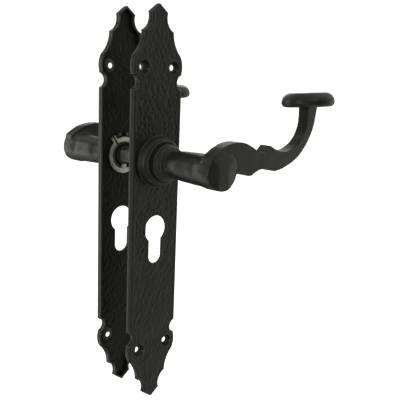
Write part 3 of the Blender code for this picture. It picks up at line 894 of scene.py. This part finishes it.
def ring_outline():
    """Outline of the split ring: the lug's two prongs outwards, the tab inwards."""
    half_slit = LUG_SLIT / 2
    half_lug = half_slit + PRONG_WIDTH
    half_tab = TAB_WIDTH / 2
    slit = math.degrees(math.asin(half_slit / RING_IN_R))
    lug = math.degrees(math.asin(half_lug / RING_R))
    tab = math.degrees(math.asin(half_tab / RING_IN_R))
    turn = Matrix.Rotation(math.radians(LUG_ANGLE), 2)
    lug_end = math.sqrt(LUG_R**2 - half_lug**2)
    corners = [tuple(turn @ Vector((lug_end, across)))
               for across in (half_lug, half_slit, -half_slit, -half_lug)]
    outside = arc((0, 0), RING_R, LUG_ANGLE + lug, LUG_ANGLE + 360 - lug, 120)
    hole = arc((0, 0), RING_IN_R, LUG_ANGLE - slit, -90 + tab, 70)
    hole += [(half_tab, -TAB_R), (-half_tab, -TAB_R)]
    hole += arc((0, 0), RING_IN_R, -90 - tab, LUG_ANGLE + slit - 360, 45)
    return outside + [corners[3], corners[2]] + hole + [corners[1], corners[0]]


def bevelled(item, width, segments=2):
    """Round an object's sharp edges."""
    bevel = item.modifiers.new("Edges", "BEVEL")
    bevel.width = width
    bevel.segments = segments
    bevel.limit_method = "ANGLE"
    bevel.angle_limit = math.radians(40)
    bevel.use_clamp_overlap = True
    return apply_modifiers(item)


def stop_ring():
    """Split ring, punched from sheet: its edges are slightly rounded."""
    return bevelled(prism("stop_ring", ring_outline(), RING_LOW, RING_HIGH), 0.12 * MM)


def small_peg(node):
    """Riveted peg with a rounded end, where the frame has it."""
    low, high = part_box(node)
    radius = (high.x - low.x) / 2
    end = -high.y
    foot = -low.y
    profile = [(0, foot), (radius, foot)]
    profile += arc((radius - 0.35 * MM, end + 0.35 * MM), 0.35 * MM, 0, -80, 6)
    profile += [(0, end)]
    item = turned("peg", profile, 40)
    item.data.transform(Matrix.Translation(((low.x + high.x) / 2, (low.z + high.z) / 2, 0)))
    return item


def spindle():
    """Square bar with sawn ends and lightly rounded corners."""
    half = SPINDLE_HALF
    item = block("spindle", (-half, -half, -SPINDLE_END), (half, half, SPINDLE_END))
    bevelled(item, 0.5 * MM, 3)
    return item


# ---------------------------------------------------------------- materials

PLATE_COLOUR = (0.024, 0.024, 0.019)
CAST_COLOUR = (0.022, 0.022, 0.018)
PAINT_ROUGHNESS = 0.36
# Reflection level of the tray's copy of the paint, set lower as painted shade
TRAY_SHADE_GLOSS = 0.22


class Nodes:
    """A short way to add and join shader nodes."""

    def __init__(self, name):
        self.material = bpy.data.materials.new(name)
        self.material.use_nodes = True
        self.tree = self.material.node_tree
        self.shader = self.tree.nodes["Principled BSDF"]
        self.place = self.add("ShaderNodeTexCoord").outputs["Object"]

    def add(self, kind, **values):
        """Add a node, with values for its settings or its inputs."""
        node = self.tree.nodes.new(kind)
        for key, value in values.items():
            if hasattr(node, key):
                setattr(node, key, value)
            else:
                node.inputs[key.replace("_", " ")].default_value = value
        return node

    def join(self, output, target):
        """Join an output to an input."""
        self.tree.links.new(output, target)

    def noise(self, size, detail=4.0, roughness=0.55, stretch=None):
        """Noise whose lumps are of the given size in metres."""
        node = self.add("ShaderNodeTexNoise", Scale=1.0 / size, Detail=detail, Roughness=roughness)
        place = self.place
        if stretch is not None:
            mapping = self.add("ShaderNodeMapping")
            mapping.inputs["Scale"].default_value = stretch
            self.join(place, mapping.inputs["Vector"])
            place = mapping.outputs["Vector"]
        self.join(place, node.inputs["Vector"])
        return node.outputs["Fac"]

    def ramp(self, source, stops):
        """Colour ramp through (position, colour) stops; a number gives a grey."""
        node = self.add("ShaderNodeValToRGB")
        elements = node.color_ramp.elements
        while len(elements) < len(stops):
            elements.new(0.5)
        for element, (position, colour) in zip(elements, stops):
            element.position = position
            if isinstance(colour, (int, float)):
                colour = (colour, colour, colour)
            element.color = (*colour, 1.0)
        self.join(source, node.inputs["Fac"])
        return node.outputs["Color"]

    def mix(self, share, first, second):
        """Blend two colours; share and both colours may be outputs or values."""
        node = self.add("ShaderNodeMix", data_type="RGBA")
        for socket, value in ((node.inputs[0], share), (node.inputs[6], first),
                              (node.inputs[7], second)):
            if isinstance(value, bpy.types.NodeSocket):
                self.join(value, socket)
            elif isinstance(value, (int, float)):
                socket.default_value = value
            else:
                socket.default_value = (*value, 1.0)
        return node.outputs[2]

    def bump(self, height, distance, strength, under=None):
        """Bump from a height, on top of another bump."""
        node = self.add("ShaderNodeBump", Strength=strength, Distance=distance)
        self.join(height, node.inputs["Height"])
        if under is not None:
            self.join(under, node.inputs["Normal"])
        return node.outputs["Normal"]


def black_paint(name, colour, roughness, grain, grain_depth, gloss=0.5):
    """Satin black paint over iron: cloudy colour, orange peel, edges lighter as rubbed paint and
    painted highlight, creases darker as painted shade.
    """
    nodes = Nodes(name)
    dark = tuple(0.72 * part for part in colour)
    light = tuple(1.25 * part for part in colour)
    cloud = nodes.ramp(nodes.noise(14 * MM, 5), [(0.30, dark), (0.50, colour), (0.72, light)])
    # Edges found by pointiness are lighter: partly rubbed paint, partly a painted highlight where
    # the edges catch the light.
    pointed = nodes.add("ShaderNodeNewGeometry").outputs["Pointiness"]
    edge = nodes.ramp(pointed, [(0.508, 0.0), (0.56, 1.0)])
    rubbed_and_highlight = tuple(3.4 * part + 0.018 for part in colour)
    worn_and_highlight = nodes.mix(edge, cloud, rubbed_and_highlight)
    # Creases and hollows found by pointiness are darker: painted shade.
    crease_shade = nodes.ramp(pointed, [(0.44, 1.0), (0.492, 0.0)])
    final = nodes.mix(crease_shade, worn_and_highlight, tuple(0.40 * part for part in colour))
    nodes.join(final, nodes.shader.inputs["Base Color"])
    patch = nodes.ramp(nodes.noise(6 * MM, 6, 0.6),
                       [(0.30, roughness - 0.05), (0.70, roughness + 0.07)])
    rubbed_gloss = nodes.mix(edge, patch, (roughness - 0.08,) * 3)
    nodes.join(rubbed_gloss, nodes.shader.inputs["Roughness"])
    peel = nodes.bump(nodes.noise(0.55 * MM, 3), 0.03 * MM, 0.35)
    cast = nodes.bump(nodes.noise(grain, 4, 0.6), grain_depth, 0.6, peel)
    nodes.join(cast, nodes.shader.inputs["Normal"])
    nodes.shader.inputs["Specular IOR Level"].default_value = gloss
    return nodes.material


def plated_metal(name, colour, roughness, brushed=(1.0, 1.0, 1.0), metallic=1.0):
    """Bright plated or drawn metal: cloudy plate, faint scratches along brushed, dull patches."""
    nodes = Nodes(name)
    dark = tuple(0.70 * part for part in colour)
    cloud = nodes.ramp(nodes.noise(2.4 * MM, 5, 0.6), [(0.28, dark), (0.62, colour)])
    nodes.join(cloud, nodes.shader.inputs["Base Color"])
    nodes.shader.inputs["Metallic"].default_value = metallic
    dull = nodes.ramp(nodes.noise(1.1 * MM, 6, 0.65),
                      [(0.30, roughness - 0.07), (0.72, roughness + 0.16)])
    nodes.join(dull, nodes.shader.inputs["Roughness"])
    scratch = nodes.bump(nodes.noise(0.4 * MM, 5, 0.7, brushed), 0.02 * MM, 0.5)
    nodes.join(scratch, nodes.shader.inputs["Normal"])
    return nodes.material


def plain_nylon(name, colour):
    """Satin plastic with a fine moulded grain."""
    nodes = Nodes(name)
    dark = tuple(0.88 * part for part in colour)
    cloud = nodes.ramp(nodes.noise(3 * MM, 3), [(0.3, dark), (0.7, colour)])
    nodes.join(cloud, nodes.shader.inputs["Base Color"])
    haze = nodes.ramp(nodes.noise(1.5 * MM, 3), [(0.3, 0.34), (0.7, 0.44)])
    nodes.join(haze, nodes.shader.inputs["Roughness"])
    grain = nodes.bump(nodes.noise(0.25 * MM, 2), 0.01 * MM, 0.3)
    nodes.join(grain, nodes.shader.inputs["Normal"])
    return nodes.material


# ---------------------------------------------------------------- assembly


def stand_up(item, side):
    """Stand a bench piece up on the front of the door, or mirrored on the rear."""
    mesh = item.data.copy()
    out = -1 if side == "front" else 1
    mesh.transform(Matrix(((1, 0, 0, 0), (0, 0, out, 0), (0, 1, 0, 0), (0, 0, 0, 1))))
    if side == "rear":
        mesh.flip_normals()
    return mesh


def finish_piece(name, mesh, material, body, node, sharp=35):
    """Add a piece, smooth it, and tell the frame what it stands for."""
    item = add_object(name, mesh)
    mesh.name = name
    mesh.materials.clear()
    mesh.materials.append(material)
    mesh.shade_smooth()
    mesh.set_sharp_from_angle(angle=math.radians(sharp))
    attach(item, body)
    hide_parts(node)
    return item


def make_pair(bench_item, kind, material, body, sharp=35):
    """Make the front and rear pieces from one bench piece."""
    for side in ("front", "rear"):
        mesh = stand_up(bench_item, side)
        node = f"{side}_{kind}"
        finish_piece(node + "_look", mesh, material, body, node, sharp)
    bpy.data.objects.remove(bench_item, do_unlink=True)


def tray_painted_shade(item, material):
    """Give a plate's walls and its side towards the door a copy of the paint with a weaker
    reflection: painted shade, as these faces lie in shadow.
    """
    mesh = item.data
    mesh.materials.append(material)
    centres = np.empty(3 * len(mesh.polygons))
    mesh.polygons.foreach_get("center", centres)
    low = np.abs(centres[1::3]) < FLOOR + 0.3 * MM
    mesh.polygons.foreach_set("material_index", low.astype(np.int32))


def make_object():
    """Every visible piece of the set."""
    plate_paint = (PLATE_COLOUR, PAINT_ROUGHNESS, 1.6 * MM, 0.10 * MM)
    plate_black = black_paint("plate_black", *plate_paint)
    # Copy of the plate paint with a weaker reflection: painted shade for the tray's walls and inner
    # side
    tray_shade_black = black_paint("tray_shade_black", *plate_paint, gloss=TRAY_SHADE_GLOSS)
    cast_black = black_paint("cast_black", CAST_COLOUR, PAINT_ROUGHNESS, 2.6 * MM, 0.06 * MM)
    zinc = plated_metal("zinc", (0.86, 0.86, 0.80), 0.36, metallic=0.7)
    steel = plated_metal("steel", (0.66, 0.66, 0.62), 0.34, brushed=(1.0, 0.08, 1.0), metallic=0.85)
    make_pair(hammered_plate(), "backplate", plate_black, "plates", 50)
    for side in ("front", "rear"):
        tray_painted_shade(bpy.data.objects[f"{side}_backplate_look"], tray_shade_black)
    make_pair(collar(), "collar", cast_black, "plates")
    make_pair(lever(), "lever", cast_black, "levers", 60)
    make_pair(end_disc(), "end_disc", cast_black, "levers")
    make_pair(stop_ring(), "stop_ring", zinc, "levers", 30)
    rivet = plated_metal("rivet", (0.20, 0.20, 0.19), 0.42)
    make_pair(small_peg("front_stop_peg"), "stop_peg", rivet, "plates")
    make_pair(small_peg("front_anchor_peg"), "anchor_peg", rivet, "plates")
    bar = spindle()
    mesh = stand_up(bar, "front")
    bpy.data.objects.remove(bar, do_unlink=True)
    finish_piece("spindle_look", mesh, steel, "levers", "spindle", 30)
    carried = {
        "return_spring": plated_metal("spring_wire", (0.45, 0.45, 0.43), 0.28),
        "guide_bush": plated_metal("bush_bronze", (0.50, 0.34, 0.18), 0.36),
        "grub_screw": plated_metal("dark_steel", (0.16, 0.16, 0.16), 0.36),
        "thrust_washer": plain_nylon("nylon", (0.035, 0.035, 0.033)),
    }
    for kind, material in carried.items():
        for side in ("front", "rear"):
            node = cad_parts[f"{side}_{kind}"]
            node.data.materials.clear()
            node.data.materials.append(material)


# ---------------------------------------------------------------- studio

CAMERA_PLACE = (-0.26694, -0.31995, 0.05779)
CAMERA_AZIMUTH = -45.903
CAMERA_PITCH = 11.752
CAMERA_ROLL = 2.347
CAMERA_LENS = 53.69
LIGHT_COLOUR = (0.97, 1.0, 0.90)
ROOM_COLOUR = (0.97, 1.0, 0.88)
ROOM_STRENGTH = 0.8
SURROUND_R = 3.0
FLOOR_R = 2.9
FLOOR_BELOW = 0.06

# Soft boxes: name, place, size, brightness against white, and the point that they look at
LIGHTS = (
    ("key", (-0.50, 0.82, -0.72), (0.7, 0.7), 0.9, (0, 0, -0.02)),
    ("above", (-0.15, 0.9, 0.95), (0.6, 0.6), 0.7, (0, 0, -0.02)),
    ("left", (-1.1, 0.0, 0.05), (0.25, 0.8), 2.0, (0, 0, -0.02)),
    ("beyond", (0.85, 0.85, 0.35), (0.8, 0.8), 1.0, (0, 0, -0.02)),
    ("rear", (-0.28, 0.60, 0.0), (0.25, 0.6), 2.4, (0, 0.06, 0)),
    ("front", (-0.5, -1.2, 0.9), (0.5, 0.5), 1.5, (0, 0, -0.02)),
)

# Brightness of the room, as (place, level) from behind the camera at 0 to beyond the object at 1
ROOM_LEVELS = ((0.0, 0.05), (0.04, 0.07), (0.16, 0.62), (0.315, 0.90), (0.5, 0.80), (0.70, 0.55),
               (0.85, 0.25))


def make_camera():
    """Camera at the photograph's viewing angle."""
    azimuth = math.radians(CAMERA_AZIMUTH)
    pitch = math.radians(CAMERA_PITCH)
    ahead = Vector((-math.sin(azimuth) * math.cos(pitch), math.cos(azimuth) * math.cos(pitch),
                    -math.sin(pitch)))
    across = ahead.cross(Vector((0, 0, 1))).normalized()
    above = across.cross(ahead)
    roll = math.radians(CAMERA_ROLL)
    right = across * math.cos(roll) + above * math.sin(roll)
    up = above * math.cos(roll) - across * math.sin(roll)
    camera = bpy.data.cameras.new("camera")
    camera.lens = CAMERA_LENS
    camera.sensor_width = 36.0
    camera.clip_start = 0.01
    item = bpy.data.objects.new("camera", camera)
    bpy.context.scene.collection.objects.link(item)
    turn = Matrix((right, up, -ahead)).transposed().to_4x4()
    item.matrix_world = Matrix.Translation(CAMERA_PLACE) @ turn
    bpy.context.scene.camera = item


def area_light(name, place, size, strength, target):
    """Soft box that looks at a point; strength is its brightness against white."""
    light = bpy.data.lights.new(name, "AREA")
    light.shape = "RECTANGLE"
    light.size = size[0]
    light.size_y = size[1]
    light.energy = strength * size[0] * size[1] * math.pi
    light.color = LIGHT_COLOUR
    item = bpy.data.objects.new(name, light)
    bpy.context.scene.collection.objects.link(item)
    item.location = place
    item.rotation_euler = (Vector(target) - Vector(place)).to_track_quat("-Z", "Y").to_euler()


def glowing(name, strength):
    """White material that glows by itself and so shows no shadow."""
    material = bpy.data.materials.new(name)
    material.use_nodes = True
    shader = material.node_tree.nodes["Principled BSDF"]
    shader.inputs["Base Color"].default_value = (0.9, 0.9, 0.9, 1.0)
    shader.inputs["Emission Color"].default_value = (1.0, 1.0, 1.0, 1.0)
    shader.inputs["Emission Strength"].default_value = strength
    return material


def make_stage():
    """Pale floor and a plain white surround; both are only seen, and light nothing."""
    bm = bmesh.new()
    bmesh.ops.create_uvsphere(bm, u_segments=48, v_segments=24, radius=SURROUND_R)
    dome = add_object("surround", mesh_from(bm, "surround"))
    bm = bmesh.new()
    bmesh.ops.create_circle(bm, cap_ends=True, segments=64, radius=FLOOR_R)
    floor = add_object("floor", mesh_from(bm, "floor"))
    floor.location.z = PLATE_BOTTOM - FLOOR_BELOW
    for item in (dome, floor):
        item.data.materials.append(glowing(item.name + "_white", 1.0))
        item.visible_diffuse = False
        item.visible_glossy = False
        item.visible_transmission = False
        item.visible_volume_scatter = False
        item.visible_shadow = False


def make_world():
    """Plain room that lights the object: dark behind the camera, bright round the sides."""
    world = bpy.data.worlds.new("studio")
    bpy.context.scene.world = world
    world.use_nodes = True
    tree = world.node_tree
    place = tree.nodes.new("ShaderNodeTexCoord")
    parts = tree.nodes.new("ShaderNodeSeparateXYZ")
    tree.links.new(place.outputs["Generated"], parts.inputs["Vector"])

    def shade(axis, start, end, low, high):
        """Level that goes from low to high as the direction goes from start to end on an axis."""
        node = tree.nodes.new("ShaderNodeMapRange")
        node.inputs["From Min"].default_value = start
        node.inputs["From Max"].default_value = end
        node.inputs["To Min"].default_value = low
        node.inputs["To Max"].default_value = high
        tree.links.new(parts.outputs[axis], node.inputs["Value"])
        return node.outputs["Result"]

    def product(first, second):
        """Two levels multiplied."""
        node = tree.nodes.new("ShaderNodeVectorMath")
        node.operation = "MULTIPLY"
        tree.links.new(first, node.inputs[0])
        tree.links.new(second, node.inputs[1])
        return node.outputs["Vector"]

    ramp = tree.nodes.new("ShaderNodeValToRGB")
    elements = ramp.color_ramp.elements
    while len(elements) < len(ROOM_LEVELS):
        elements.new(0.5)
    for element, (position, level) in zip(elements, ROOM_LEVELS):
        element.position = position
        element.color = (*(part * level for part in ROOM_COLOUR), 1.0)
    tree.links.new(shade("Y", -1.0, 1.0, 0.0, 1.0), ramp.inputs["Fac"])
    sideways = product(ramp.outputs["Color"], shade("X", -0.7, 0.3, 0.5, 1.0))
    final = product(sideways, shade("Z", -0.7, -0.3, 0.7, 1.0))
    background = tree.nodes["Background"]
    tree.links.new(final, background.inputs["Color"])
    background.inputs["Strength"].default_value = ROOM_STRENGTH


def make_studio():
    """Camera, stage and lights."""
    make_camera()
    make_stage()
    make_world()
    for light in LIGHTS:
        area_light(*light)
    settings = bpy.context.scene.view_settings
    settings.view_transform = "Standard"
    settings.look = "None"


make_object()
make_studio()
